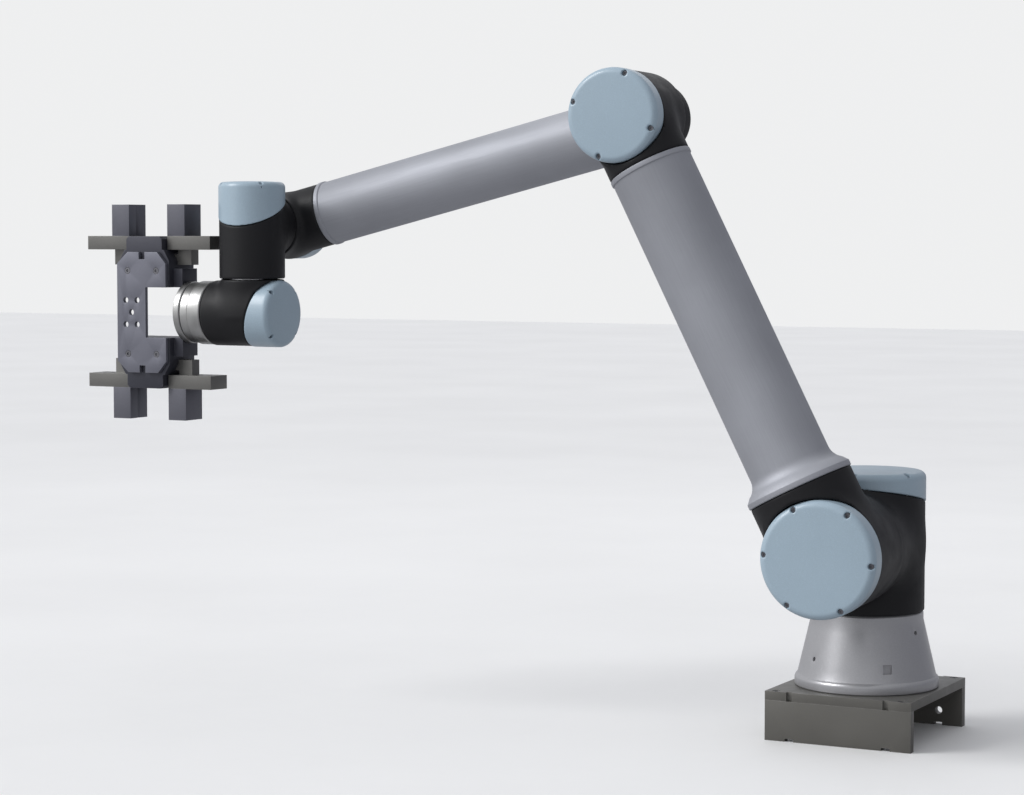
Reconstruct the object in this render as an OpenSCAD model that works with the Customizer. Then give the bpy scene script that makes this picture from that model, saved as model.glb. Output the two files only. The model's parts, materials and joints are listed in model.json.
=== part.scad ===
// Six-axis collaborative robot arm on a plate riser, carrying a back-to-back double gripper.
// Millimetres, +Z up. Origin: centre of the riser's underside, on the base joint's axis.

/* [Riser] */
// height of the riser from the table to the robot base
riser_h = 65; // [55:1:90]
// riser length along X
riser_w = 200; // [196:2:240]
// riser length along Y
riser_d = 220; // [212:2:260]
// thickness of the riser's plates
plate_t = 12; // [10:1:16]

/* [Links] */
// height of the shoulder axis above the robot base
shoulder_z = 192; // [188:1:200]
// shoulder axis to elbow axis
upper_len = 620; // [450:5:700]
// elbow axis to first wrist axis
fore_len = 568; // [420:4:650]
// distance of the upper arm's tube from the base axis
upper_y = 172; // [172:1:180]
// distance of the forearm's tube from the base axis
fore_y = 70; // [66:1:72]
// distance of the first wrist link from the base axis
wrist_y = 168; // [166:1:172]
// first wrist axis down to the second wrist link
wrist_drop = 120; // [120:1:140]
// second wrist axis to the tool flange's face
flange_x = 94; // [92:1:110]

/* [Stored pose] */
// turn of the base joint
arm_yaw = 5; // [0:1:5]
// rise of the upper arm above the horizontal
upper_rise = 63.5; // [50:0.5:80]
// fall of the forearm below the horizontal
fore_fall = 14.3; // [5:0.1:25]

/* [Joints] */
// outer radius of the base joint
base_r = 75; // [74:0.5:78]
// outer radius of the shoulder joint
shoulder_r = 74; // [73:0.5:76]
// outer radius of the elbow joint
elbow_r = 60; // [59:0.5:62]
// outer radius of the three wrist joints
wrist_r = 45; // [44:0.5:46]
// width of the slit between two links
slit = 1.5; // [1.2:0.1:2]

/* [Tubes] */
// radius of the upper arm's tube
upper_tube_r = 54; // [50:1:56]
// radius of the forearm's tube
fore_tube_r = 43.5; // [40:0.5:44]
// wall of both tubes
tube_wall = 4; // [3:0.5:6]

/* [Gripper] */
// gap between the two fingers of a gripper
finger_gap = 65; // [62:1:70]
// finger width along the stroke
finger_w = 29; // [24:1:34]
// finger height
finger_h = 44; // [30:1:50]
// length of a jaw bar
jaw_len = 71; // [60:1:72]

/* [Hidden] */
$fn = 64;
base_h = 99.5;
base_top = 101;
cap_tilt = 12;
wrist_tilt = 16;
wrist_1_tilt = 26;
big_wall = 9;
small_wall = 6;
elbow_x = -upper_len * cos(upper_rise);
elbow_z = shoulder_z + upper_len * sin(upper_rise);
wrist_x = elbow_x - fore_len * cos(fore_fall);
wrist_z = elbow_z - fore_len * sin(fore_fall);
i1 = 100;
i2 = 114;
i3 = 118;
i4 = 72;
i5 = 58;
big_drive = [34, 34];
mid_drive = [28, 30];
small_drive = [20, 26];
black = [0.13, 0.13, 0.14];
blue = [0.62, 0.70, 0.76];
silver = [0.72, 0.73, 0.75];
cast = [0.80, 0.80, 0.80];
steel = [0.55, 0.56, 0.58];
copper = [0.45, 0.40, 0.36];
violet = [0.44, 0.44, 0.50];
dark = [0.22, 0.22, 0.23];
tool_x = flange_x + 10;
grip_c = 56;
grip_half = 42;
win_z = 35;
body_top = 87;
crown_z = 106;

// ---------- profiles ----------

// points of an arc, from angle a0 to a1
function arc(cx, cy, r, a0, a1, n = 6) =
    [for (i = [0 : n]) [cx + r * cos(a0 + (a1 - a0) * i / n), cy + r * sin(a0 + (a1 - a0) * i / n)]];

// turned solid with a rounded upper rim and a slightly domed face
module domed(r, h, edge, dome = 1.5, low = 0)
    rotate_extrude()
        polygon(concat([[0, -low], [r, -low]], arc(r - edge, h - edge, edge, 0, 84, 6), [[0, h + dome]]));

// cylinder with both rims broken by a small chamfer
module rimmed(r, h, c = 1.5)
    rotate_extrude()
        polygon([[0, 0], [r - c, 0], [r, c], [r, h - c], [r - c, h], [0, h]]);

// everything above a plane through the local origin that rises towards +y by the tilt
module above(r, tilt)
    rotate([tilt, 0, 0])
        translate([-3 * r, -3 * r, 0])
            cube([6 * r, 6 * r, 6 * r]);

// ---------- placing ----------

module arm() translate([0, 0, riser_h]) rotate([0, 0, arm_yaw]) children();

// local z points to the joint's cap, local y to the neck of the link
module at_base() arm() translate([0, 0, base_top]) rotate([0, 0, 180]) children();

module at_shoulder()
    arm() translate([0, -i1, shoulder_z]) rotate([0, upper_rise - 90, 0]) rotate([90, 0, 0]) children();

module at_elbow()
    arm() translate([elbow_x, -i2, elbow_z]) rotate([0, upper_rise + 90, 0]) rotate([90, 0, 0]) children();

module at_wrist_1()
    arm() translate([wrist_x, -i3, wrist_z]) rotate([0, -90 - fore_fall, 0]) rotate([-90, 0, 0]) children();

module at_wrist_2() arm() translate([wrist_x, -wrist_y, wrist_z - i4]) children();

// tool frame: second wrist link's centre, turned back so that the gripper is square to the riser
module tool()
    arm() translate([wrist_x, -wrist_y, wrist_z - wrist_drop]) rotate([0, 0, -arm_yaw]) children();

module at_wrist_3() tool() translate([-i5, 0, 0]) rotate([90, 0, 90]) children();

// ---------- parts of every joint ----------

// joint housing round a drive: wall, inner lip, bore; the neck's children are joined on
module housing(r, wall, h, tilt, cap_h) {
    difference() {
        union() {
            difference() {
                rimmed(r, h + r, 2);
                translate([0, 0, h]) above(r, tilt);
            }
            difference() {
                children(0);
                intersection() {
                    translate([0, 0, h]) above(r, tilt);
                    cylinder(r = r + 1.6, h = h + cap_h + 2 * r);
                }
            }
        }
        translate([0, 0, 6]) cylinder(r = r - wall, h = h + 2 * r);
        translate([0, 0, -1]) cylinder(r = r - wall - 6, h = 9);
        children(1);
    }
}

// lid of a joint: turned shell, cut where it meets the housing, with screw recesses in its rim
module cap(r, wall, h, cap_h, tilt, edge, n, a0) {
    difference() {
        intersection() {
            translate([0, 0, h]) domed(r + 0.8, cap_h, edge, 1.5, r);
            translate([0, 0, h]) above(r, tilt);
        }
        translate([0, 0, h - r]) cylinder(r = r - wall, h = r + cap_h - 11);
        for (i = [0 : n - 1]) rotate([0, 0, a0 + 360 * i / n]) translate([r - wall / 2 - 0.3, 0, 0]) {
            translate([0, 0, h - r]) cylinder(r = wall * 0.16 + 0.4, h = r + cap_h);
            translate([0, 0, h + cap_h - 8]) cylinder(r = wall * 0.35 + 0.4, h = 20);
        }
    }
}

// socket screw, head seated at z = 0, shank downwards
module socket_screw(shank_r, head_r, head_h, len)
    difference() {
        union() {
            cylinder(r = head_r, h = head_h);
            translate([0, 0, -len]) cylinder(r = shank_r, h = len + 1);
        }
        translate([0, 0, head_h / 2]) cylinder(r = head_r * 0.5, h = head_h, $fn = 6);
    }

module cap_screws(r, wall, h, cap_h, n, a0, len)
    for (i = [0 : n - 1])
        rotate([0, 0, a0 + 360 * i / n])
            translate([r - wall / 2 - 0.3, 0, h + cap_h - 8])
                socket_screw(wall * 0.16 + 0.15, wall * 0.35, 3.4, len);

// tapped holes of those screws in the housing
module cap_taps(r, wall, h, cap_h, n, a0, len)
    for (i = [0 : n - 1])
        rotate([0, 0, a0 + 360 * i / n])
            translate([r - wall / 2 - 0.3, 0, h + cap_h - 10 - len])
                cylinder(r = wall * 0.16 + 0.3, h = len + 30);

// output side of a drive: flange on the next link and the hub that turns in the gear
module output(r, wall, drive, hole)
    difference() {
        union() {
            translate([0, 0, -slit]) cylinder(r = r - wall - 7.5, h = 4.5 + slit);
            cylinder(r = (r - wall) * 0.55, h = 4 + drive[0]);
        }
        translate([0, 0, -slit - 1]) cylinder(r = hole, h = drive[0] + 20);
        for (a = [0 : 60 : 300])
            rotate([0, 0, a])
                translate([(r - wall) * 0.68, 0, 1.5])
                    cylinder(r = 2.4, h = 20);
    }

// strain-wave gear with its cross-roller ring, seated on the housing's lip
module gear(r, wall, drive)
    difference() {
        union() {
            translate([0, 0, 6]) cylinder(r = r - wall - 0.3, h = drive[0] * 0.55);
            translate([0, 0, 6]) cylinder(r = r - wall - 4, h = drive[0]);
        }
        translate([0, 0, 5]) cylinder(r = (r - wall) * 0.55 + 0.06, h = drive[0] + 20);
        for (a = [0 : 45 : 315])
            rotate([0, 0, a])
                translate([r - wall - 8, 0, drive[0] - 4])
                    cylinder(r = 1.6, h = 20);
    }

// frameless motor with brake disc and encoder board on a hollow shaft
module motor(r, wall, drive, hole)
    translate([0, 0, 6 + drive[0]])
        difference() {
            union() {
                cylinder(r = r - wall - 7, h = drive[1] * 0.6);
                cylinder(r = r - wall - 14, h = drive[1] * 0.85);
                cylinder(r = r - wall - 9, h = drive[1] * 0.7);
                cylinder(r = hole + 5, h = drive[1]);
            }
            translate([0, 0, -1]) cylinder(r = hole, h = drive[1] + 2);
        }

// sealing ring in the slit
module seal(r)
    translate([0, 0, -slit])
        difference() {
            cylinder(r = r - 2.5, h = slit - 0.3);
            translate([0, 0, -1]) cylinder(r = r - 8, h = slit + 2);
        }

// ---------- riser and base ----------

// places of the screws that hold the top plate on the side plates
module riser_screw_places()
    for (x = [-1, 1], y = [-1, 1])
        translate([x * (riser_w / 2 - 14), y * (riser_d - plate_t) / 2, riser_h])
            children();

// places of the bolts that hold the base, seen from below
module base_bolt_places()
    for (a = [45 : 90 : 315])
        rotate([0, 0, a])
            translate([85, 0, riser_h - plate_t])
                children();

module riser_top_plate() color(dark)
    difference() {
        translate([-riser_w / 2, -riser_d / 2, riser_h - plate_t]) cube([riser_w, riser_d, plate_t]);
        riser_screw_places() translate([0, 0, -plate_t - 1]) cylinder(r = 3.2, h = plate_t + 2);
        riser_screw_places() translate([0, 0, -6]) cylinder(r = 5.4, h = 7);
        base_bolt_places() translate([0, 0, -1]) cylinder(r = 4.2, h = plate_t + 2);
        for (x = [-1, 1], y = [-1, 1])
            translate([x * (riser_w / 2 - 34) - 4, y * (riser_d / 2 - 1) - 3, riser_h - plate_t - 1])
                cube([8, 6, plate_t + 2]);
    }

module riser_side_plates() color(dark)
    for (y = [-1, 1])
        difference() {
            translate([-riser_w / 2, y * (riser_d - plate_t) / 2 - plate_t / 2, 0])
                cube([riser_w, plate_t, riser_h - plate_t]);
            riser_screw_places() translate([0, 0, -plate_t - 22]) cylinder(r = 3.1, h = 30);
            for (x = [-1, 1]) {
                translate([x * 40, y * (riser_d - plate_t) / 2, -1]) cylinder(r = 3.4, h = 26);
                translate([x * (riser_w / 2 - 34) - 6, y * (riser_d - plate_t) / 2 - 20, -1])
                    cube([12, 40, 5]);
                translate([x * 67, 0, 20]) rotate([-90, 0, 0]) cylinder(r = 5, h = riser_d);
            }
        }

module riser_screws() color(steel) riser_screw_places() translate([0, 0, -6]) socket_screw(3, 5, 5.4, 26);

module base_bolts() color(steel) base_bolt_places() rotate([180, 0, 0]) socket_screw(4, 6.5, 8, 25);

// cast foot: straight skirt with rounded shoulder, then a cone up to the first joint
module base_casting() color(cast)
    translate([0, 0, riser_h])
        difference() {
            union() {
                rotate_extrude()
                    polygon(concat([[0, 0], [93.5, 0], [95, 1.5]], arc(88, 9, 7, 0, 62, 5),
                        [[base_r - 1, base_h - 10], [base_r - 1, base_h - 1.5], [base_r - 2.5, base_h],
                        [0, base_h]]));
                translate([0, 40, 34]) rotate([-90, 0, 0]) cylinder(r = 15, h = 54);
            }
            translate([0, 0, 16]) cylinder(r1 = 76, r2 = 60, h = base_h - 26);
            translate([0, 0, -1]) cylinder(r = 60, h = 20);
            translate([0, 0, base_h - 12]) cylinder(r = 24, h = 20);
            for (a = [45 : 90 : 315]) rotate([0, 0, a]) translate([85, 0, -1]) cylinder(r = 4.1, h = 17);
            translate([0, 30, 34]) rotate([-90, 0, 0]) cylinder(r = 8.2, h = 80);
            rotate([0, 0, -123]) translate([81, 0, 40]) rotate([0, 90, 0]) cylinder(r = 3, h = 20);
            rotate([0, 0, -15]) translate([71, 0, 76]) rotate([0, 90, 0]) cylinder(r = 3, h = 20);
            rotate([0, 0, -52]) translate([82, -6, 27]) cube([20, 12, 12]);
        }

module base_cable_gland() color(black)
    translate([0, 94, riser_h + 34]) rotate([-90, 0, 0])
        difference() {
            union() {
                translate([0, 0, -14]) cylinder(r = 8, h = 15);
                cylinder(r = 13, h = 6, $fn = 6);
                cylinder(r = 9.5, h = 14);
                domed(8, 20, 3, 0.5);
            }
            translate([0, 0, -15]) cylinder(r = 4.5, h = 50);
        }

module base_joint_output() color(steel) at_base() output(base_r, big_wall, big_drive, 16);
module base_joint_seal() color(dark) at_base() seal(base_r);

// ---------- shoulder link ----------

module shoulder_housing() color(black)
    at_base()
        difference() {
            housing(base_r, big_wall, 148, cap_tilt, 36) {
                translate([0, 0, shoulder_z - base_top]) rotate([-90, 0, 0])
                    rimmed(shoulder_r - 2, i1 - slit, 1.5);
                translate([0, 0, shoulder_z - base_top]) rotate([-90, 0, 0]) {
                    cylinder(r = shoulder_r - 12, h = i1 - slit - 12);
                    cylinder(r = 18, h = i1 + 20);
                }
            }
            cap_taps(base_r, big_wall, 148, 36, 6, 30, 56);
        }

module base_joint_gear() color(steel) at_base() gear(base_r, big_wall, big_drive);
module base_joint_motor() color(copper) at_base() motor(base_r, big_wall, big_drive, 14);
module shoulder_cap() color(blue) at_base() cap(base_r, big_wall, 148, 36, cap_tilt, 9, 6, 30);
module shoulder_cap_screws() color(steel) at_base() cap_screws(base_r, big_wall, 148, 36, 6, 30, 54);
module shoulder_joint_output() color(steel) at_shoulder() output(shoulder_r, big_wall, big_drive, 16);
module shoulder_joint_seal() color(dark) at_shoulder() seal(shoulder_r - 1);

// ---------- upper arm ----------

shoulder_neck = 93;
elbow_neck = 70;
tube_len = upper_len - shoulder_neck - elbow_neck;

module upper_arm_shoulder_housing() color(black)
    at_shoulder()
        difference() {
            housing(shoulder_r, big_wall, 108, 0, 34) {
                translate([0, 0, upper_y - i1]) rotate([-90, 0, 0]) rimmed(69, shoulder_neck, 1.5);
                translate([0, 0, upper_y - i1]) rotate([-90, 0, 0])
                    cylinder(r = 48, h = shoulder_neck + 20);
            }
            cap_taps(shoulder_r, big_wall, 108, 34, 6, 30, 36);
        }

module upper_arm_elbow_housing() color(black)
    at_elbow()
        difference() {
            housing(elbow_r, big_wall, 88, 0, 30) {
                translate([0, 0, upper_y - i2]) rotate([-90, 0, 0]) rimmed(55, elbow_neck, 1.5);
                translate([0, 0, upper_y - i2]) rotate([-90, 0, 0]) cylinder(r = 42, h = elbow_neck + 20);
            }
            cap_taps(elbow_r, big_wall, 88, 30, 4, 45, 36);
        }

// drawn tube with a flared skirt at the shoulder and a thin ring at the elbow
module upper_arm_tube() color(silver)
    at_shoulder()
        translate([0, shoulder_neck, upper_y - i1]) rotate([-90, 0, 0])
            difference() {
                union() {
                    rotate_extrude()
                        polygon(concat([[0, 0], [69.5, 0], [70.5, 1], [70.5, 7]],
                            arc(upper_tube_r + 22, 33, 22, 238, 180, 6),
                            [[upper_tube_r, tube_len], [0, tube_len]]));
                    translate([0, 0, tube_len - 7]) rimmed(upper_tube_r + 1.6, 7, 1);
                }
                translate([0, 0, -1]) cylinder(r = upper_tube_r - tube_wall, h = upper_len);
            }

module shoulder_joint_gear() color(steel) at_shoulder() gear(shoulder_r, big_wall, big_drive);
module shoulder_joint_motor() color(copper) at_shoulder() motor(shoulder_r, big_wall, big_drive, 14);
module elbow_joint_gear() color(steel) at_elbow() gear(elbow_r, big_wall, mid_drive);
module elbow_joint_motor() color(copper) at_elbow() motor(elbow_r, big_wall, mid_drive, 12);
module upper_arm_shoulder_cap() color(blue) at_shoulder() cap(shoulder_r, big_wall, 108, 34, 0, 9, 6, 30);
module upper_arm_elbow_cap() color(blue) at_elbow() cap(elbow_r, big_wall, 88, 30, 0, 8, 4, 45);

module upper_arm_cap_screws() color(steel) {
    at_shoulder() cap_screws(shoulder_r, big_wall, 108, 34, 6, 30, 34);
    at_elbow() cap_screws(elbow_r, big_wall, 88, 30, 4, 45, 34);
}

// ---------- forearm ----------

fore_start = 75;
fore_end = 71;

// bend from the elbow's face into the forearm's tube
module forearm_elbow_housing() color(black)
    arm() translate([elbow_x, -fore_y, elbow_z]) rotate([0, -90 - fore_fall, 0])
        difference() {
            union() {
                rotate([90, 0, 0]) rimmed(49, i2 - slit - fore_y, 1.5);
                sphere(r = 47.5);
                rimmed(45.2, fore_start, 1.5);
            }
            sphere(r = 40);
            rotate([90, 0, 0]) cylinder(r = 16, h = 90);
            cylinder(r = 38, h = fore_start + 10);
            rotate([90, 0, 0]) translate([0, 0, i2 - slit - fore_y]) cylinder(r = 60, h = 20);
        }

module elbow_joint_output() color(steel) at_elbow() output(elbow_r - 8, 1, mid_drive, 14);

module forearm_tube() color(silver)
    arm() translate([elbow_x, -fore_y, elbow_z]) rotate([0, -90 - fore_fall, 0])
        translate([0, 0, fore_start])
            difference() {
                union() {
                    cylinder(r = fore_tube_r, h = fore_len - fore_start - fore_end);
                    rimmed(fore_tube_r + 1.4, 6, 1);
                    translate([0, 0, fore_len - fore_start - fore_end - 7]) rimmed(fore_tube_r + 1.4, 7, 1);
                }
                translate([0, 0, -1]) cylinder(r = fore_tube_r - tube_wall, h = fore_len);
            }

module forearm_wrist_housing() color(black)
    at_wrist_1()
        difference() {
            housing(wrist_r, small_wall, 67, wrist_tilt, 36) {
                translate([0, 0, i3 - fore_y]) rotate([-90, 0, 0]) rimmed(43.6, fore_end, 1.5);
                translate([0, 0, i3 - fore_y]) rotate([-90, 0, 0]) cylinder(r = 33, h = fore_end + 20);
            }
            cap_taps(wrist_r, small_wall, 67, 36, 4, 45, 50);
        }

module wrist_1_joint_gear() color(steel) at_wrist_1() gear(wrist_r, small_wall, small_drive);
module wrist_1_joint_motor() color(copper) at_wrist_1() motor(wrist_r, small_wall, small_drive, 8);
module forearm_cap() color(blue) at_wrist_1() cap(wrist_r, small_wall, 67, 36, wrist_tilt, 7, 4, 45);
module forearm_cap_screws() color(steel) at_wrist_1() cap_screws(wrist_r, small_wall, 67, 36, 4, 45, 48);

// ---------- first wrist link ----------

module wrist_1_housing() color(black)
    at_wrist_2()
        difference() {
            housing(wrist_r, small_wall, 94, wrist_1_tilt, 38) {
                translate([0, 0, i4]) rotate([-90, 0, 0]) rimmed(43.8, wrist_y - i3 - slit, 1.5);
                translate([0, 0, i4]) rotate([-90, 0, 0]) {
                    cylinder(r = 34, h = wrist_y - i3 - slit - 5);
                    cylinder(r = 10, h = 80);
                }
            }
            cap_taps(wrist_r, small_wall, 94, 38, 4, 45, 52);
        }

module wrist_1_joint_output() color(steel) at_wrist_1() output(wrist_r, small_wall, small_drive, 9);
module wrist_2_joint_gear() color(steel) at_wrist_2() gear(wrist_r, small_wall, small_drive);
module wrist_2_joint_motor() color(copper) at_wrist_2() motor(wrist_r, small_wall, small_drive, 8);
module wrist_1_cap() color(blue) at_wrist_2() cap(wrist_r, small_wall, 94, 38, wrist_1_tilt, 7, 4, 45);
module wrist_1_cap_screws() color(steel) at_wrist_2() cap_screws(wrist_r, small_wall, 94, 38, 4, 45, 50);

// ---------- second wrist link ----------

module wrist_2_housing() color(black)
    at_wrist_3()
        difference() {
            housing(wrist_r, small_wall, 76, wrist_tilt, 34) {
                translate([0, 0, i5]) rotate([-90, 0, 0]) rimmed(43.8, wrist_drop - i4 - slit, 1.5);
                translate([0, 0, i5]) rotate([-90, 0, 0]) {
                    cylinder(r = 34, h = wrist_drop - i4 - slit - 5);
                    cylinder(r = 10, h = 80);
                }
            }
            cap_taps(wrist_r, small_wall, 76, 34, 4, 45, 46);
        }

module wrist_2_joint_output() color(steel) at_wrist_2() output(wrist_r, small_wall, small_drive, 9);
module wrist_3_joint_gear() color(steel) at_wrist_3() gear(wrist_r, small_wall, small_drive);
module wrist_3_joint_motor() color(copper) at_wrist_3() motor(wrist_r, small_wall, small_drive, 8);
module wrist_2_cap() color(blue) at_wrist_3() cap(wrist_r, small_wall, 76, 34, wrist_tilt, 7, 4, 45);
module wrist_2_cap_screws() color(steel) at_wrist_3() cap_screws(wrist_r, small_wall, 76, 34, 4, 45, 44);

// ---------- tool flange and adapter ----------

// turned flange: hub in the last joint, step, face with four tapped holes and a centring recess
module tool_flange() color(silver)
    at_wrist_3()
        difference() {
            union() {
                output(wrist_r, small_wall, small_drive, 9);
                mirror([0, 0, 1]) translate([0, 0, slit])
                    rotate_extrude()
                        polygon([[0, 0], [42.5, 0], [44, 1.5], [44, 20], [42, 22],
                            [42, flange_x - i5 - slit - 1.5], [40.5, flange_x - i5 - slit],
                            [0, flange_x - i5 - slit]]);
            }
            translate([0, 0, i5 - flange_x - 1]) cylinder(r = 15.75, h = 7.2);
            translate([0, 0, i5 - flange_x - 1]) cylinder(r = 9, h = 60);
            for (a = [45 : 90 : 315])
                rotate([0, 0, a]) translate([25, 0, i5 - flange_x - 1]) cylinder(r = 2.6, h = 14);
        }

module adapter_screw_places()
    for (a = [45 : 90 : 315])
        translate([-tool_x, 0, 0]) rotate([a, 0, 0]) translate([5.4, 25, 0]) rotate([0, -90, 0]) children();

module flange_adapter() color(silver)
    tool()
        difference() {
            translate([-tool_x, 0, 0]) rotate([0, 90, 0]) rimmed(43, 10, 1);
            translate([-tool_x - 1, 0, 0]) rotate([0, 90, 0]) cylinder(r = 12, h = 20);
            adapter_screw_places() translate([0, 0, -20]) cylinder(r = 2.7, h = 40);
            adapter_screw_places() cylinder(r = 4.6, h = 20);
        }

// screws of the perforated bracket, in its front face
module bracket_screw_places()
    for (x = [-24, 24], s = [-1, 1])
        translate([-tool_x - grip_c + x, -33.4, s * 58])
            rotate([90, 0, 0])
                children();

module tool_screws() color(steel)
    tool() {
        adapter_screw_places() socket_screw(2.5, 4.3, 2.6, 14);
        bracket_screw_places() socket_screw(2.5, 4.3, 2.6, 14);
    }

// ---------- double gripper ----------

// outline of one gripper body, upper half
function grip_outline() = [[-grip_half, win_z], [grip_half, win_z], [grip_half, 72], [33, body_top],
    [30, body_top], [30, crown_z - 4], [26, crown_z], [-26, crown_z], [-30, crown_z - 4],
    [-30, body_top], [-33, body_top], [-grip_half, 72]];

module grip_centre() tool() translate([-tool_x - grip_c, 0, 0]) children();

// body with its foot on the adapter, a slide way for the jaws and screw holes
module gripper_body()
    difference() {
        union() {
            rotate([90, 0, 0]) translate([0, 0, -30]) linear_extrude(60) polygon(grip_outline());
            translate([grip_half - 1, -18, win_z]) cube([grip_c - grip_half + 1, 36, 26]);
        }
        translate([-60, -9, 66]) cube([120, 18, 15]);
        for (x = [-24, 24]) translate([x, -17, 58]) rotate([90, 0, 0]) cylinder(r = 2.6, h = 20);
        for (x = [-12, 12]) translate([x, 20, 50]) rotate([-90, 0, 0]) cylinder(r = 4.2, h = 20);
    }

module upper_gripper_body() color(violet) grip_centre() gripper_body();
module lower_gripper_body() color(violet) grip_centre() mirror([0, 0, 1]) gripper_body();

// C-shaped plate that ties both bodies, with five round holes in its strip
module gripper_bracket() color(violet)
    grip_centre()
        difference() {
            rotate([90, 0, 0]) translate([0, 0, 30]) linear_extrude(6)
                polygon([[-grip_half, -68], [-grip_half + 18, -84], [grip_half - 16, -84],
                    [grip_half - 2, -68],
                    [grip_half - 2, -win_z], [6, -win_z], [6, win_z], [grip_half - 2, win_z],
                    [grip_half - 2, 68], [grip_half - 16, 84], [-grip_half + 18, 84], [-grip_half, 68]]);
            for (x = [-1, 1], z = [-1, 1])
                translate([-18 + x * 9.5, -20, z * 17]) rotate([90, 0, 0]) cylinder(r = 4.2, h = 30);
            translate([-18, -20, 0]) rotate([90, 0, 0]) cylinder(r = 4.2, h = 30);
            for (x = [-24, 24], s = [-1, 1]) translate([x, -20, s * 58]) rotate([90, 0, 0]) {
                cylinder(r = 2.7, h = 30);
                translate([0, 0, 13.4]) cylinder(r = 4.7, h = 20);
            }
            for (s = [-1, 1]) translate([-5, -40, s * 80 - 6]) cube([10, 20, 12]);
        }

// push-in cartridges for air hoses, nearly flush with the back of both bodies
module gripper_air_ports() color(black)
    grip_centre()
        for (x = [-12, 12], s = [-1, 1])
            translate([x, 30, s * 50]) rotate([-90, 0, 0])
                difference() {
                    union() {
                        translate([0, 0, -9]) cylinder(r = 4, h = 10);
                        rimmed(5.5, 1.5, 0.4);
                    }
                    translate([0, 0, -6]) cylinder(r = 2, h = 30);
                }

// jaw: bar outside the body, with a tongue in the slide way; drawn for +x on the upper gripper
module jaw()
    difference() {
        union() {
            translate([finger_gap / 2, -20, body_top + 0.3]) cube([jaw_len, 40, crown_z - body_top]);
            translate([grip_half + 1, -8.9, 66.1]) cube([22, 17.8, body_top - 62]);
            translate([8, -8.9, 66.1]) cube([grip_half - 5, 17.8, 14.8]);
        }
        for (y = [-1, 1])
            translate([finger_gap / 2 + finger_w / 2, y * 11, body_top + 6]) cylinder(r = 2.6, h = 30);
        for (x = [42, 56]) translate([finger_gap / 2 + x, 0, body_top - 1]) cylinder(r = 3.4, h = 40);
    }

// finger block with a vee ground in its gripping face
module finger()
    difference() {
        translate([finger_gap / 2, -20, crown_z + 0.3]) cube([finger_w, 40, finger_h]);
        translate([finger_gap / 2 - 4, 0, crown_z - 1])
            rotate([0, 0, 45])
                translate([-5, -5, 0])
                    cube([10, 10, 60]);
        for (y = [-1, 1]) translate([finger_gap / 2 + finger_w / 2, y * 11, crown_z - 1]) {
            cylinder(r = 2.6, h = 60);
            translate([0, 0, finger_h - 4]) cylinder(r = 4.6, h = 20);
        }
    }

module upper_right_jaw() color(dark) grip_centre() jaw();
module upper_left_jaw() color(dark) grip_centre() mirror([1, 0, 0]) jaw();
module lower_right_jaw() color(dark) grip_centre() mirror([0, 0, 1]) jaw();
module lower_left_jaw() color(dark) grip_centre() mirror([0, 0, 1]) mirror([1, 0, 0]) jaw();
module upper_right_finger() color(violet) grip_centre() finger();
module upper_left_finger() color(violet) grip_centre() mirror([1, 0, 0]) finger();
module lower_right_finger() color(violet) grip_centre() mirror([0, 0, 1]) finger();
module lower_left_finger() color(violet) grip_centre() mirror([0, 0, 1]) mirror([1, 0, 0]) finger();

// ---------- drawing ----------

riser_top_plate();
riser_side_plates();
riser_screws();
base_bolts();
base_casting();
base_cable_gland();
base_joint_output();
base_joint_seal();
shoulder_housing();
base_joint_gear();
base_joint_motor();
shoulder_cap();
shoulder_cap_screws();
shoulder_joint_output();
shoulder_joint_seal();
upper_arm_shoulder_housing();
upper_arm_tube();
upper_arm_elbow_housing();
shoulder_joint_gear();
shoulder_joint_motor();
elbow_joint_gear();
elbow_joint_motor();
upper_arm_shoulder_cap();
upper_arm_elbow_cap();
upper_arm_cap_screws();
forearm_elbow_housing();
forearm_tube();
forearm_wrist_housing();
elbow_joint_output();
wrist_1_joint_gear();
wrist_1_joint_motor();
forearm_cap();
forearm_cap_screws();
wrist_1_housing();
wrist_1_joint_output();
wrist_2_joint_gear();
wrist_2_joint_motor();
wrist_1_cap();
wrist_1_cap_screws();
wrist_2_housing();
wrist_2_joint_output();
wrist_3_joint_gear();
wrist_3_joint_motor();
wrist_2_cap();
wrist_2_cap_screws();
tool_flange();
flange_adapter();
tool_screws();
gripper_bracket();
upper_gripper_body();
lower_gripper_body();
gripper_air_ports();
upper_left_jaw();
upper_right_jaw();
lower_left_jaw();
lower_right_jaw();
upper_left_finger();
upper_right_finger();
lower_left_finger();
lower_right_finger();
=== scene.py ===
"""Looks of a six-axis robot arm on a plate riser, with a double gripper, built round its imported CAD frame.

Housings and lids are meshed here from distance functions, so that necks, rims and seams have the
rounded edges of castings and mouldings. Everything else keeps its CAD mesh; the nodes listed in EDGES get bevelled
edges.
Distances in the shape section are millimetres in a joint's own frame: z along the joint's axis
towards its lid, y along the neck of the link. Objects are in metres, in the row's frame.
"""

import json
import math

import bmesh
import bpy
import numpy as np
from mathutils import Matrix, Vector


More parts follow.
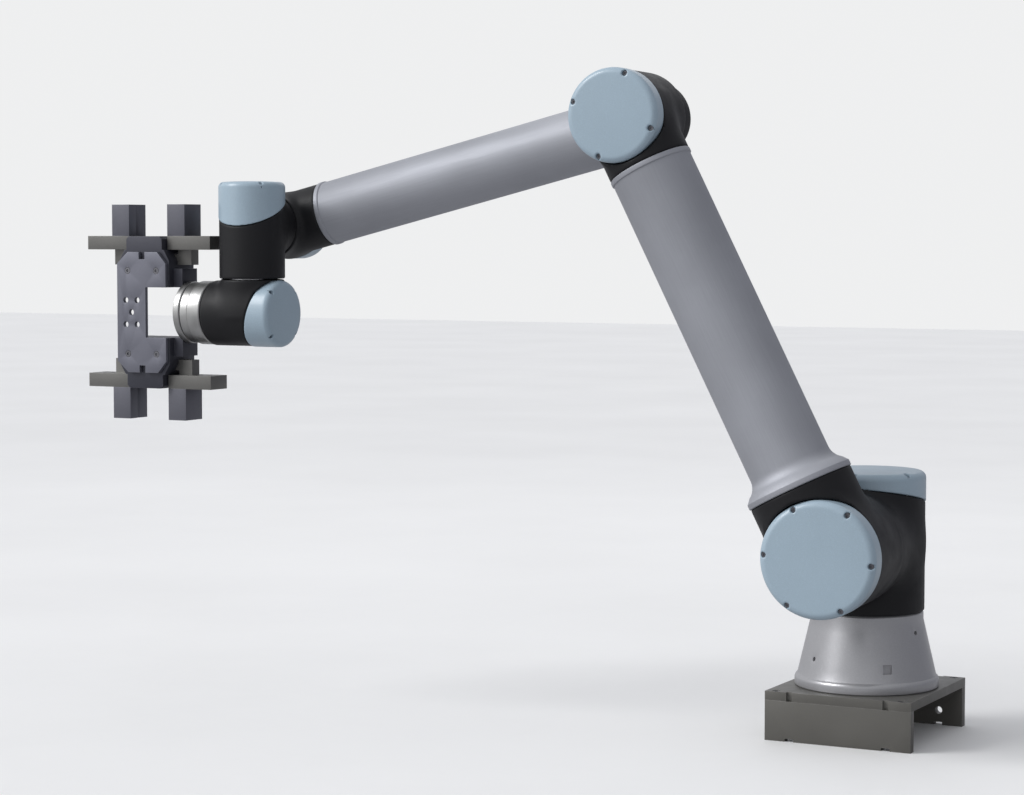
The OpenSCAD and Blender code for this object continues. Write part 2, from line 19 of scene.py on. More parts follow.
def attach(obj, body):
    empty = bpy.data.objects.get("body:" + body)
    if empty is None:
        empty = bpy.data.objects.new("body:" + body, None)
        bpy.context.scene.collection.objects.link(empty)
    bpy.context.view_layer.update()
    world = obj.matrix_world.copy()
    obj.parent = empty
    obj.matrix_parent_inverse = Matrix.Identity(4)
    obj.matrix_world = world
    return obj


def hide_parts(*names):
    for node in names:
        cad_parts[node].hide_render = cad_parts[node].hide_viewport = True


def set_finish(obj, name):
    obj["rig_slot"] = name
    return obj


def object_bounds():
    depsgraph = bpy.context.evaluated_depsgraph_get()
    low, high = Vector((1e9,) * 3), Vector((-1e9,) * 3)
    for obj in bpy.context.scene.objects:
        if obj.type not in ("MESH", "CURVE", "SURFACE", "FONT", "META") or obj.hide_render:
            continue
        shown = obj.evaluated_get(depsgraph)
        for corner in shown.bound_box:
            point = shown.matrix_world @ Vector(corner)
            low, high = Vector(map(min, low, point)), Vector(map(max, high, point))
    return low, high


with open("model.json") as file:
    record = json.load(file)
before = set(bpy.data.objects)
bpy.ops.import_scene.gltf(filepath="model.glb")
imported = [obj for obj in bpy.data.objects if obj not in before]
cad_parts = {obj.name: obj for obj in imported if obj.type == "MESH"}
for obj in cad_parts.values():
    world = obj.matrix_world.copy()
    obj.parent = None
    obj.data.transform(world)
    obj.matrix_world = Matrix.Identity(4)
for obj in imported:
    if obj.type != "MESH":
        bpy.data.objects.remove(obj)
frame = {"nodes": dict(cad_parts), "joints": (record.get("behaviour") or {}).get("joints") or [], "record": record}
CAD_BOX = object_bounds()
NODES = frame["nodes"]
JOINTS = {j["name"]: j for j in frame["joints"]}
MM = 0.001

# ---------- frames of the joints ----------

SIDE = Vector(JOINTS["shoulder_turn"]["axis"]).normalized()
UP = Vector((0, 0, 1))
BASE = Vector(JOINTS["base_turn"]["pos_m"])
SHOULDER = Vector(JOINTS["shoulder_turn"]["pos_m"])
ELBOW = Vector(JOINTS["elbow_turn"]["pos_m"])
WRIST_1 = Vector(JOINTS["wrist_1_turn"]["pos_m"])
WRIST_2 = Vector(JOINTS["wrist_2_turn"]["pos_m"])
WRIST_3 = Vector(JOINTS["wrist_3_turn"]["pos_m"])


def across(a, b):
    """Unit vector from a to b, square to the lids' axis."""
    d = b - a
    return (d - SIDE * d.dot(SIDE)).normalized()


UPPER = across(SHOULDER, ELBOW)
FORE = across(ELBOW, WRIST_1)
TOOL_BACK = -Vector(JOINTS["wrist_3_turn"]["axis"]).normalized()


def place(origin, z, y):
    """Matrix of a joint's frame, from millimetres to the row's metres."""
    x = y.cross(z)
    turned = Matrix((x, y, z)).transposed().to_4x4()
    return Matrix.Translation(origin) @ turned @ Matrix.Scale(MM, 4)


# ---------- distance functions ----------

EVEN_ROUNDS = 7        # times that a net is evened out and settled
SLOPE_STEP = 0.05      # half the step over which a slope is measured
LEAST_SLOPE = 0.2      # squared slope below which a point's move is held back


def smooth_min(a, b, k):
    """Union of two distances, blended over a width k."""
    h = np.clip(0.5 + 0.5 * (b - a) / k, 0, 1)
    return b * (1 - h) + a * h - k * h * (1 - h)


def smooth_max(a, b, k):
    """Intersection of two distances, blended over a width k."""
    return -smooth_min(-a, -b, k)


def rod(p, axis, radius, low, high, edge):
    """Cylinder along a local axis between two heights, with rounded rims."""
    along = p[..., axis] - (low + high) / 2
    others = [i for i in range(3) if i != axis]
    wide = np.hypot(p[..., others[0]], p[..., others[1]]) - (radius - edge)
    tall = np.abs(along) - ((high - low) / 2 - edge)
    outside = np.hypot(np.maximum(wide, 0), np.maximum(tall, 0))
    return np.minimum(np.maximum(wide, tall), 0) + outside - edge


def lift(p, x=0.0, y=0.0, z=0.0):
    """Points seen from a shape's own centre."""
    return p - np.array((x, y, z))


def surface(distance, low, high, pitch):
    """Vertices and quads of a zero surface: surface nets, evened out and settled on it."""
    counts = [int(math.ceil((b - a) / pitch)) + 1 for a, b in zip(low, high)]
    axes = [a + pitch * np.arange(n) for a, n in zip(low, counts)]
    grid = np.stack(np.meshgrid(*axes, indexing="ij"), -1)
    d = distance(grid)
    inside = d < 0
    corner = [(i, j, k) for i in (0, 1) for j in (0, 1) for k in (0, 1)]
    n = [c - 1 for c in counts]
    filled = sum(inside[i:n[0] + i, j:n[1] + j, k:n[2] + k].astype(int) for i, j, k in corner)
    cells = (filled > 0) & (filled < 8)
    number = -np.ones(cells.shape, int)
    number[cells] = np.arange(cells.sum())
    verts = grid[:-1, :-1, :-1][cells] + pitch / 2
    quads = []
    for axis in range(3):
        one, two = [i for i in range(3) if i != axis]
        ahead = [slice(None)] * 3
        behind = [slice(None)] * 3
        ahead[axis] = slice(1, None)
        behind[axis] = slice(None, -1)
        a, b = inside[tuple(behind)], inside[tuple(ahead)]
        where = np.argwhere(a != b)
        keep = (where[:, one] > 0) & (where[:, two] > 0)
        keep &= (where[:, one] < counts[one] - 1) & (where[:, two] < counts[two] - 1)
        where = where[keep]
        leaves = a[tuple(where.T)]
        ring = []
        for s, t in ((0, 0), (1, 0), (1, 1), (0, 1)):
            cell = where.copy()
            cell[:, one] -= 1 - s
            cell[:, two] -= 1 - t
            ring.append(number[tuple(cell.T)])
        ring = np.stack(ring, 1)
        flip = leaves if axis != 1 else ~leaves
        ring[~flip] = ring[~flip][:, ::-1]
        quads.append(ring)
    quads = np.concatenate(quads)
    edges = np.concatenate([quads[:, [i, (i + 1) % 4]] for i in range(4)])
    degree = np.bincount(edges.ravel(), minlength=len(verts))[:, None]
    for _ in range(EVEN_ROUNDS):
        total = np.zeros_like(verts)
        np.add.at(total, edges[:, 0], verts[edges[:, 1]])
        np.add.at(total, edges[:, 1], verts[edges[:, 0]])
        verts = verts + 0.5 * (total / degree - verts)
        verts = settle(distance, verts, pitch)
    return settle(distance, verts, pitch), quads


def settle(distance, verts, pitch):
    """Moves points along the distance's slope on to its zero surface."""
    value = distance(verts)
    steps = np.eye(3) * SLOPE_STEP
    slope = np.stack([distance(verts + step) - distance(verts - step) for step in steps], -1)
    slope /= 2 * SLOPE_STEP
    size = np.maximum((slope**2).sum(-1), LEAST_SLOPE)
    move = -slope * (value / size)[:, None]
    length = np.linalg.norm(move, axis=1, keepdims=True)
    return verts + move * np.minimum(1, pitch / np.maximum(length, 1e-9))


def mesh_object(name, verts, quads, matrix):
    """Object in the row's frame from quads in a joint's frame."""
    mesh = bpy.data.meshes.new(name)
    mesh.vertices.add(len(verts))
    mesh.vertices.foreach_set("co", verts.astype(np.float32).ravel())
    mesh.loops.add(quads.size)
    mesh.loops.foreach_set("vertex_index", quads.astype(np.int32).ravel())
    mesh.polygons.add(len(quads))
    mesh.polygons.foreach_set("loop_start", np.arange(0, quads.size, 4, dtype=np.int32))
    mesh.update(calc_edges=True)
    mesh.validate()
    mesh.transform(matrix)
    mesh.shade_smooth()
    made = bpy.data.objects.new(name, mesh)
    bpy.context.scene.collection.objects.link(made)
    return made


# ---------- housings and lids ----------

SEAM = 0.45            # half the gap between a housing and its lid
RIM = 2.2              # rounding of a casting's open rims
BIG_R = 75             # radius of the largest housing
FILLET = 16.0          # blend between that housing and its neck
CUT_EDGE = 1.6         # rounding where a seam cuts a housing
LID_ROOM = 1.8         # a neck keeps this far from a lid's side
LIP = 6                # inward lip, and thickness, of a housing's open end
DOME = 1.5             # rise of a lid's face at its centre
LID_FACE = 11          # thickness of a lid's face
LID_EDGE = 0.8         # rounding of a lid's inner edges
LID_PROUD = 0.8        # a lid stands proud of its housing by this
SCREW_SINK = 8.0       # depth of a lid's screw pockets

# Each housing and its lid: frame (origin, axis towards the lid, direction of the neck), radius, wall,
# height at the seam, lid's height and slant of the seam in degrees, lid's rounding, number of screws,
# angle of the first one, neck's radius, height and length, moving body, and the CAD nodes they stand for
LINKS = {
    "shoulder": dict(at=(BASE, UP, SIDE), r=75, wall=9, seam=148, lid=36, slant=12, edge=9,
                     screws=6, first=30, neck=72, neck_z=91, neck_len=98.5, body="shoulder_link",
                     housing="shoulder_housing", cap="shoulder_cap"),
    "upper_low": dict(at=(SHOULDER, SIDE, UPPER), r=74, wall=9, seam=108, lid=34, slant=0, edge=9,
                      screws=6, first=30, neck=69, neck_z=72, neck_len=93, body="upper_arm",
                      housing="upper_arm_shoulder_housing", cap="upper_arm_shoulder_cap"),
    "upper_high": dict(at=(ELBOW, SIDE, -UPPER), r=60, wall=9, seam=88, lid=30, slant=0, edge=8,
                       screws=4, first=45, neck=55, neck_z=58, neck_len=70, body="upper_arm",
                       housing="upper_arm_elbow_housing", cap="upper_arm_elbow_cap"),
    "fore_end": dict(at=(WRIST_1, -SIDE, -FORE), r=45, wall=6, seam=67, lid=36, slant=16, edge=7,
                     screws=4, first=45, neck=43.6, neck_z=48, neck_len=71, body="forearm",
                     housing="forearm_wrist_housing", cap="forearm_cap"),
    "wrist_a": dict(at=(WRIST_2, UP, -SIDE), r=45, wall=6, seam=94, lid=38, slant=26, edge=7,
                    screws=4, first=45, neck=43.8, neck_z=72, neck_len=48.5, body="wrist_1",
                    housing="wrist_1_housing", cap="wrist_1_cap"),
    "wrist_b": dict(at=(WRIST_3, TOOL_BACK, UP), r=45, wall=6, seam=76, lid=34, slant=16, edge=7,
                    screws=4, first=45, neck=43.8, neck_z=58, neck_len=46.5, body="wrist_2",
                    housing="wrist_2_housing", cap="wrist_2_cap"),
}


def above_seam(p, link):
    """Distance above the slanted plane in which a lid meets its housing."""
    t = math.radians(link["slant"])
    return (p[..., 2] - link["seam"]) * math.cos(t) - p[..., 1] * math.sin(t)


def housing_distance(p, link):
    """Drum with a slanted top, a neck blended into it, a bore and a lip at the open end."""
    r, wall = link["r"], link["wall"]
    fillet = FILLET * r / BIG_R
    drum = rod(p, 2, r, 0, link["seam"] + r, RIM)
    over = above_seam(p, link)
    drum = smooth_max(drum, over + SEAM, CUT_EDGE)
    neck = rod(lift(p, z=link["neck_z"]), 1, link["neck"], -5, link["neck_len"], RIM)
    clear_of_lid = -np.maximum(np.hypot(p[..., 0], p[..., 1]) - r - LID_ROOM, -over - SEAM)
    neck = smooth_max(neck, clear_of_lid, CUT_EDGE)
    outer = smooth_min(drum, neck, fillet)
    outer = smooth_max(outer, clear_of_lid, 1.2)
    inner = np.minimum(
        rod(p, 2, r - wall, LIP, link["seam"] + 2 * r, 0.5),
        rod(p, 2, r - wall - LIP, -4, 2 * LIP, 0.5),
    )
    return smooth_max(outer, -inner, 0.8)


def lid_distance(p, link):
    """Domed cup down to the slanted seam, with screw pockets round its face."""
    r, wall, top = link["r"], link["wall"], link["seam"] + link["lid"]
    across_r = np.hypot(p[..., 0], p[..., 1])
    dome = DOME * (across_r / r) ** 2 - DOME
    q = p.copy()
    q[..., 2] = q[..., 2] + dome
    shell = rod(q, 2, r + LID_PROUD, link["seam"] - r, top, link["edge"])
    shell = smooth_max(shell, SEAM - above_seam(p, link), 1.2)
    inside = rod(p, 2, r - wall, link["seam"] - 2 * r, top - LID_FACE, 2)
    shell = smooth_max(shell, -inside, LID_EDGE)
    centre = r - wall / 2 - 0.3
    for i in range(link["screws"]):
        a = math.radians(link["first"] + 360 * i / link["screws"])
        near = lift(p, centre * math.cos(a), centre * math.sin(a), 0)
        pocket = rod(near, 2, wall * 0.35 + 0.5, top - SCREW_SINK, top + 20, 0.3)
        shell = smooth_max(shell, -pocket, 0.7)
    return shell


def add_piece(name, node, body, slot_name, verts, quads, matrix):
    """Meshed piece that rides on a body and stands for a CAD node."""
    made = mesh_object(name, verts, quads, matrix)
    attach(made, body)
    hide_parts(node)
    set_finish(made, slot_name)
    return made


SHELLS, LIDS = [], []
for key, link in LINKS.items():
    matrix = place(*link["at"])
    r, top = link["r"], link["seam"] + link["lid"]
    large = r > 50
    verts, quads = surface(
        lambda p: housing_distance(p, link),
        (-r - 6, -r - 6, -6),
        (r + 6, link["neck_len"] + 6, top + 6),
        2.1 if large else 1.7,
    )
    SHELLS.append(add_piece(key + "_shell", link["housing"], link["body"], "black_housing",
                            verts, quads, matrix))
    low = link["seam"] - r * math.tan(math.radians(link["slant"])) - 4
    verts, quads = surface(
        lambda p: lid_distance(p, link),
        (-r - 5, -r - 5, low),
        (r + 5, r + 5, top + 5),
        1.5 if large else 1.2,
    )
    LIDS.append(add_piece(key + "_lid", link["cap"], link["body"], "blue_lid", verts, quads, matrix))

BEND_SIDE = 44.0       # from the centre of the forearm's bend to the elbow's face
BEND_LENGTH = 75.0     # from that centre to the forearm's tube
BALL_R = 47.5          # the bend's outer ball


def bend_distance(p):
    """Hollow elbow piece: a stub to the joint, a stub to the tube, and a ball where they meet."""
    stub = rod(p, 2, 49, -5, BEND_SIDE - 1.5, RIM)
    arm = rod(p, 1, 45.2, -5, BEND_LENGTH, 1.6)
    from_centre = np.linalg.norm(p, axis=-1)
    ball = from_centre - BALL_R
    outer = smooth_min(smooth_min(stub, arm, 14), ball, 8)
    inner = np.minimum(from_centre - 40, rod(p, 1, 38, 0, BEND_LENGTH + 9, 0.5))
    inner = np.minimum(inner, rod(p, 2, 16, 0, BEND_SIDE + 9, 0.5))
    return smooth_max(outer, -inner, 0.8)


verts, quads = surface(bend_distance, (-56, -56, -56), (56, 82, 50), 1.9)
SHELLS.append(add_piece("fore_start_shell", "forearm_elbow_housing", "forearm", "black_housing",
                        verts, quads, place(ELBOW - SIDE * BEND_SIDE * MM, SIDE, FORE)))

# ---------- CAD pieces with bevelled edges ----------

WELD = 0.02            # points nearer than this are joined
FLAT = 0.4             # faces within this many degrees are merged
BEVEL_FROM = 32        # edges sharper than this many degrees are bevelled
SHADE_FROM = 40        # and those sharper than this stay sharp in shading


def bevelled(node, body, slot_name, width):
    """Copy of a CAD node's mesh with its sharp edges rounded. It stands for the node."""
    source = NODES[node].data
    work = bmesh.new()
    work.from_mesh(source)
    bmesh.ops.remove_doubles(work, verts=work.verts, dist=WELD * MM)
    bmesh.ops.dissolve_limit(work, angle_limit=math.radians(FLAT), verts=work.verts, edges=work.edges)
    limit = math.radians(BEVEL_FROM)
    sharp = [e for e in work.edges if len(e.link_faces) == 2 and e.calc_face_angle(0) > limit]
    bmesh.ops.bevel(work, geom=sharp, offset=width * MM, offset_type="OFFSET", segments=2, profile=0.6,
                    affect="EDGES", clamp_overlap=True)
    bmesh.ops.triangulate(work, faces=[f for f in work.faces if len(f.verts) > 4])
    mesh = bpy.data.meshes.new(node + "_body")
    work.to_mesh(mesh)
    work.free()
    mesh.shade_smooth()
    mesh.set_sharp_from_angle(angle=math.radians(SHADE_FROM))
    made = bpy.data.objects.new(node + "_body", mesh)
    bpy.context.scene.collection.objects.link(made)
    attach(made, body)
    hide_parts(node)
    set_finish(made, slot_name)
    return made


BODY_OF = {n: b for b, names in frame["record"]["behaviour"]["bodies"].items() for n in names}
SLOT_OF = {s["node"]: s["material_slot"] for s in frame["record"]["subparts"]}
# width of the bevel on each node, in millimetres
EDGES = {
    "riser_top_plate": 0.8, "riser_side_plates": 0.8, "base_casting": 1.0, "base_cable_gland": 0.4,
    "upper_arm_tube": 0.5, "forearm_tube": 0.5, "tool_flange": 0.6, "flange_adapter": 0.5,
    "gripper_bracket": 0.7, "upper_gripper_body": 1.2, "lower_gripper_body": 1.2,
    "upper_left_jaw": 0.9, "upper_right_jaw": 0.9, "lower_left_jaw": 0.9, "lower_right_jaw": 0.9,
    "upper_left_finger": 1.0, "upper_right_finger": 1.0, "lower_left_finger": 1.0,
    "lower_right_finger": 1.0,
}
PIECES = {o.name: (o, o["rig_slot"]) for o in SHELLS + LIDS}
for node, width in EDGES.items():
    made = bevelled(node, BODY_OF[node], SLOT_OF[node], width)
    PIECES[made.name] = (made, SLOT_OF[node])
replaced = set(EDGES) | {link[k] for link in LINKS.values() for k in ("housing", "cap")}
replaced.add("forearm_elbow_housing")
for node, made in NODES.items():
    if node not in replaced:
        PIECES[node] = (made, SLOT_OF[node])

# ---------- materials ----------


class Graph:
    """Short names for the shader nodes that the materials share."""

    def __init__(self, name):
        self.material = bpy.data.materials.new(name)
        self.material.use_nodes = True
        self.tree = self.material.node_tree
        self.shader = self.tree.nodes["Principled BSDF"]
        self.space = self.add("ShaderNodeTexCoord").outputs["Object"]

    def add(self, kind, **settings):
        made = self.tree.nodes.new(kind)
        for key, value in settings.items():
            setattr(made, key, value)
        return made

    def link(self, source, target):
        self.tree.links.new(source, target)

    def set(self, **values):
        for key, value in values.items():
            self.shader.inputs[key.replace("_", " ")].default_value = value

    def turned(self, direction, scale):
        """Object coordinates turned so that z follows a direction, then scaled."""
        quat = Vector(direction).rotation_difference(Vector((0, 0, 1)))
        turn = self.add("ShaderNodeVectorRotate", rotation_type="EULER_XYZ")
        turn.inputs["Rotation"].default_value = quat.to_euler()
        self.link(self.space, turn.inputs["Vector"])
        size = self.add("ShaderNodeVectorMath", operation="MULTIPLY")
        size.inputs[1].default_value = scale
        self.link(turn.outputs["Vector"], size.inputs[0])
        return size.outputs["Vector"]

    def noise(self, scale, detail=3.0, rough=0.5, space=None):
        made = self.add("ShaderNodeTexNoise")
        made.inputs["Scale"].default_value = scale
        made.inputs["Detail"].default_value = detail
        made.inputs["Roughness"].default_value = rough
        self.link(space or self.space, made.inputs["Vector"])
        return made.outputs["Fac"]

    def spread(self, value, low, high, to_low, to_high):
        made = self.add("ShaderNodeMapRange", clamp=True)
        for key, number in (("From Min", low), ("From Max", high), ("To Min", to_low), ("To Max", to_high)):
            made.inputs[key].default_value = number
        self.link(value, made.inputs["Value"])
        return made.outputs["Result"]

    def mix(self, factor, one, two):
        made = self.add("ShaderNodeMix", data_type="RGBA")
        self.link(factor, made.inputs["Factor"])
        for key, colour in ((6, one), (7, two)):
            if isinstance(colour, tuple):
                made.inputs[key].default_value = (*colour, 1.0)
            else:
                self.link(colour, made.inputs[key])
        return made.outputs[2]

    def bump(self, height, distance, strength, before=None):
        made = self.add("ShaderNodeBump")
        made.inputs["Strength"].default_value = strength
        made.inputs["Distance"].default_value = distance
        self.link(height, made.inputs["Height"])
        if before is not None:
            self.link(before, made.inputs["Normal"])
        return made.outputs["Normal"]

    def colour(self, output):
        self.link(output, self.shader.inputs["Base Color"])

    def roughness(self, output):
        self.link(output, self.shader.inputs["Roughness"])

    def normal(self, output):
        self.link(output, self.shader.inputs["Normal"])

    def edge_wear(self, colour, bare, amount):
        """Lighter colour on rubbed edges, broken up by noise."""
        soft = self.add("ShaderNodeBevel", samples=4)
        soft.inputs["Radius"].default_value = 0.0012
        agree = self.add("ShaderNodeVectorMath", operation="DOT_PRODUCT")
        self.link(soft.outputs["Normal"], agree.inputs[0])
        self.link(self.add("ShaderNodeNewGeometry").outputs["Normal"], agree.inputs[1])
        worn = self.spread(agree.outputs["Value"], 0.80, 0.985, amount, 0.0)
        patchy = self.spread(self.noise(110, 4), 0.38, 0.62, 0.25, 1.0)
        both = self.add("ShaderNodeMath", operation="MULTIPLY")
        self.link(worn, both.inputs[0])
        self.link(patchy, both.inputs[1])
        return self.mix(both.outputs[0], colour, bare)


def scaled(colour, factor):
    return tuple(min(1.0, c * factor) for c in colour)


def coated(name, colour, spread, rough, grain, depth, metal=0.0, bare=None, wear=0.0, gloss=0.0,
           shine=0.5):
    """Paint, powder coat, anodising or moulding: blotches, speckle, uneven gloss and a fine grain."""
    g = Graph(name)
    g.set(Metallic=metal, Coat_Weight=gloss, Coat_Roughness=0.2, Specular_IOR_Level=shine)
    blotch = g.mix(g.spread(g.noise(7, 4), 0.35, 0.65, 0.0, 1.0), scaled(colour, 1 - spread),
                   scaled(colour, 1 + spread))
    speckle = g.mix(g.spread(g.noise(900, 2), 0.45, 0.75, 0.0, 0.35), blotch, scaled(colour, 1.35))
    g.colour(g.edge_wear(speckle, bare, wear) if bare else speckle)
    g.roughness(g.spread(g.noise(35, 5), 0.3, 0.7, rough - 0.05, rough + 0.07))
    coarse = g.bump(g.noise(120, 2), 0.0004, 0.12)
    g.normal(g.bump(g.noise(grain, 2, 0.6), depth, 0.35, coarse))
    return g.material


def drawn_tube(name, direction, colour):
    """Satin anodised tube: fine lines along it and slight cloudiness."""
    g = Graph(name)
    g.set(Metallic=0.5, Anisotropic=0.3)
    lines = g.noise(1.0, 4, 0.6, g.turned(direction, (1500, 1500, 14)))
    cloud = g.noise(9, 4)
    tint = g.mix(g.spread(cloud, 0.35, 0.65, 0.0, 1.0), scaled(colour, 0.93), scaled(colour, 1.05))
    g.colour(g.mix(g.spread(lines, 0.3, 0.7, 0.0, 0.25), tint, scaled(colour, 0.82)))
    g.roughness(g.spread(lines, 0.3, 0.7, 0.54, 0.66))
    g.normal(g.bump(lines, 0.00012, 0.25))
    return g.material


def turned_metal(name, centre, direction, colour, rough):
    """Lathe-turned face: fine rings round an axis through a centre."""
    g = Graph(name)
    g.set(Metallic=0.95)
    move = g.add("ShaderNodeVectorMath", operation="SUBTRACT")
    move.inputs[1].default_value = centre
    g.link(g.space, move.inputs[0])
    g.space = move.outputs["Vector"]
    square = g.turned(direction, (1.0, 1.0, 1.0))
    parts = g.add("ShaderNodeSeparateXYZ")
    g.link(square, parts.inputs[0])
    flat = g.add("ShaderNodeCombineXYZ")
    g.link(parts.outputs["X"], flat.inputs["X"])
    g.link(parts.outputs["Y"], flat.inputs["Y"])
    radius = g.add("ShaderNodeVectorMath", operation="LENGTH")
    g.link(flat.outputs["Vector"], radius.inputs[0])
    line = g.add("ShaderNodeCombineXYZ")
    g.link(radius.outputs["Value"], line.inputs["X"])
    g.link(parts.outputs["Z"], line.inputs["Y"])
    rings = g.noise(1400, 2, 0.5, line.outputs["Vector"])
    cloud = g.noise(40, 3)
    g.colour(g.mix(g.spread(cloud, 0.35, 0.65, 0.0, 1.0), scaled(colour, 0.88), scaled(colour, 1.05)))
    g.roughness(g.spread(rings, 0.3, 0.7, rough - 0.05, rough + 0.1))
    g.normal(g.bump(rings, 0.00015, 0.3))
    return g.material


MATERIALS = {
    "black_housing": coated("black_powder_coat", (0.010, 0.010, 0.0115), 0.12, 0.50, 1100, 0.00025,
                            bare=(0.05, 0.05, 0.055), wear=0.5, shine=0.25),
    "blue_lid": coated("blue_grey_moulding", (0.33, 0.425, 0.50), 0.04, 0.38, 1600, 0.0001, gloss=0.25),
    "base_casting": coated("pale_cast_metal", (0.37, 0.37, 0.385), 0.05, 0.33, 700, 0.0002, metal=0.5,
                           bare=(0.70, 0.70, 0.71), wear=0.6, gloss=0.3),
    "riser_steel": coated("brown_grey_paint", (0.122, 0.118, 0.107), 0.08, 0.34, 900, 0.0002, metal=0.25,
                          bare=(0.32, 0.31, 0.30), wear=0.7),
    "gripper_metal": coated("violet_grey_anodising", (0.155, 0.158, 0.19), 0.06, 0.40, 1300, 0.00012,
                            metal=0.4, bare=(0.38, 0.38, 0.42), wear=0.6),
    # Darker copy of the bracket's violet-grey anodising for the gripper bodies: painted shade, since the bodies
    # sit in shadow behind the bracket.
    "gripper_body": coated("gripper_body_anodising", (0.045, 0.046, 0.06), 0.06, 0.42, 1300, 0.00012,
                           metal=0.4, bare=(0.30, 0.30, 0.34), wear=0.5),
    "jaw_metal": coated("dark_grey_anodising", (0.145, 0.142, 0.134), 0.06, 0.38, 1300, 0.00012, metal=0.45,
                        bare=(0.36, 0.35, 0.34), wear=0.6),
    "finger_metal": coated("finger_anodising", (0.115, 0.116, 0.138), 0.06, 0.40, 1300, 0.00012, metal=0.4,
                           bare=(0.36, 0.36, 0.40), wear=0.6),
    "zinc_screws": coated("dark_zinc", (0.16, 0.16, 0.175), 0.15, 0.34, 2200, 0.0001, metal=0.9),
    "black_plastic": coated("black_moulding", (0.02, 0.02, 0.021), 0.1, 0.5, 1500, 0.0001),
    "seal_rubber": coated("seal_rubber", (0.05, 0.052, 0.054), 0.1, 0.65, 800, 0.0001),
    "joint_steel": coated("ground_steel", (0.48, 0.48, 0.50), 0.08, 0.28, 1800, 0.0001, metal=0.95),
    "motor_metal": coated("wound_motor", (0.40, 0.27, 0.18), 0.25, 0.40, 900, 0.0003, metal=0.7),
}
TUBE = (0.375, 0.385, 0.42)
MATERIALS["upper_arm_tube"] = drawn_tube("upper_tube_metal", UPPER, TUBE)
MATERIALS["forearm_tube"] = drawn_tube("forearm_tube_metal", FORE, TUBE)
MATERIALS["flange_metal"] = turned_metal("turned_flange", WRIST_3, TOOL_BACK, (0.40, 0.40, 0.395), 0.36)

for name, (piece, slot_name) in PIECES.items():
    key = slot_name
    if slot_name == "silver_tube":
        key = name.removesuffix("_body")
    # the gripper bodies take the darker material, which paints in their shade
    elif "gripper_body" in name:
        key = "gripper_body"
    piece.data.materials.clear()
    piece.data.materials.append(MATERIALS[key])

# ---------- floor, light and camera ----------


FLOOR_HALF = 14.0


def floor():
    """Pale floor. It looks bright, and throws less light back, so that undersides stay dark."""
    size = FLOOR_HALF
    mesh = bpy.data.meshes.new("floor")
    corners = [(-size, -size, 0), (size, -size, 0), (size, size, 0), (-size, size, 0)]
    mesh.from_pydata(corners, [], [(0, 1, 2, 3)])
    made = bpy.data.objects.new("floor", mesh)
    bpy.context.scene.collection.objects.link(made)
    g = Graph("pale_floor")
    g.set(Specular_IOR_Level=0.25)
    pale = g.mix(g.spread(g.noise(1.5, 5), 0.3, 0.7, 0.0, 1.0), (0.83, 0.83, 0.83), (0.87, 0.87, 0.87))
    seen = g.add("ShaderNodeLightPath").outputs["Is Camera Ray"]
    g.colour(g.mix(seen, (0.42, 0.42, 0.43), pale))
    g.roughness(g.spread(g.noise(30, 4), 0.3, 0.7, 0.55, 0.7))
    mesh.materials.append(g.material)


def soft_light(name, spot, aim, size, power):
    """Rectangular area lamp that faces a point."""
    data = bpy.data.lights.new(name, "AREA")
    data.shape = "RECTANGLE"
    data.size, data.size_y = size
    data.energy = power
    made = bpy.data.objects.new(name, data)
    made.location = spot
    made.rotation_euler = (Vector(aim) - Vector(spot)).to_track_quat("-Z", "Y").to_euler()
    bpy.context.scene.collection.objects.link(made)


LIT_FROM = Vector((-0.62, -0.50, 0.60)).normalized()
SKY_DIM = (0.17, 0.175, 0.215, 1)
SKY_BRIGHT = (0.74, 0.75, 0.77, 1)
BACKDROP = (0.86, 0.865, 0.87, 1)
SUN_POWER = 1.75
SUN_WIDTH = math.radians(28)


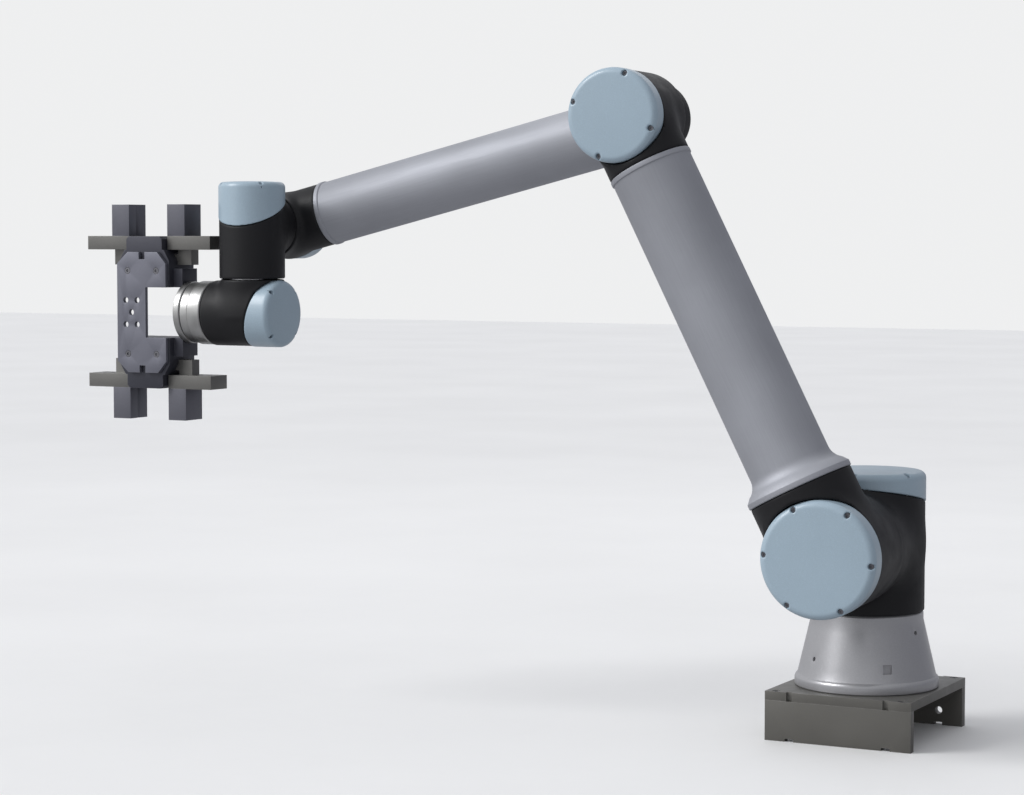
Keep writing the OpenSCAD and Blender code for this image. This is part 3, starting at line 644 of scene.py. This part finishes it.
def studio():
    """White backdrop to look at. Light and reflections come from a sky that is bright on one side only."""
    world = bpy.data.worlds.new("studio")
    world.use_nodes = True
    tree = world.node_tree
    back = tree.nodes["Background"]
    back.inputs["Strength"].default_value = 1.0
    place_in_sky = tree.nodes.new("ShaderNodeTexCoord")
    towards = tree.nodes.new("ShaderNodeVectorMath")
    towards.operation = "DOT_PRODUCT"
    towards.inputs[1].default_value = LIT_FROM
    ramp = tree.nodes.new("ShaderNodeValToRGB")
    ramp.color_ramp.elements[0].position = 0.0
    ramp.color_ramp.elements[0].color = SKY_DIM
    ramp.color_ramp.elements[1].position = 0.9
    ramp.color_ramp.elements[1].color = SKY_BRIGHT
    span = tree.nodes.new("ShaderNodeMapRange")
    span.inputs["From Min"].default_value = -1.0
    path = tree.nodes.new("ShaderNodeLightPath")
    choose = tree.nodes.new("ShaderNodeMix")
    choose.data_type = "RGBA"
    choose.inputs[7].default_value = BACKDROP
    tree.links.new(place_in_sky.outputs["Generated"], towards.inputs[0])
    tree.links.new(towards.outputs["Value"], span.inputs["Value"])
    tree.links.new(span.outputs["Result"], ramp.inputs["Fac"])
    tree.links.new(path.outputs["Is Camera Ray"], choose.inputs["Factor"])
    tree.links.new(ramp.outputs["Color"], choose.inputs[6])
    tree.links.new(choose.outputs[2], back.inputs["Color"])
    bpy.context.scene.world = world
    sun = bpy.data.lights.new("key", "SUN")
    sun.energy = SUN_POWER
    sun.angle = SUN_WIDTH
    made = bpy.data.objects.new("key", sun)
    made.rotation_euler = (-LIT_FROM).to_track_quat("-Z", "Y").to_euler()
    bpy.context.scene.collection.objects.link(made)
    soft_light("band", (-2.4, -2.6, 1.6), CENTRE, (1.6, 2.6), 9)
    soft_light("rim", (-1.2, 2.8, 2.4), CENTRE, (3.0, 1.4), 7)
    bpy.context.scene.view_settings.view_transform = "Standard"


CAMERA_AT = Vector((1.205, -3.297, 0.664))
LENS = 93.0
CENTRE = (CAD_BOX[0] + CAD_BOX[1]) / 2


def camera():
    """The photo's viewing angle, aimed at the middle of the CAD's box."""
    data = bpy.data.cameras.new("camera")
    data.lens = LENS
    data.sensor_width = 36.0
    data.clip_end = 60
    made = bpy.data.objects.new("camera", data)
    made.location = CAMERA_AT
    made.rotation_euler = (CENTRE - CAMERA_AT).to_track_quat("-Z", "Y").to_euler()
    bpy.context.scene.collection.objects.link(made)
    bpy.context.scene.camera = made


floor()
studio()
camera()
bpy.context.view_layer.update()
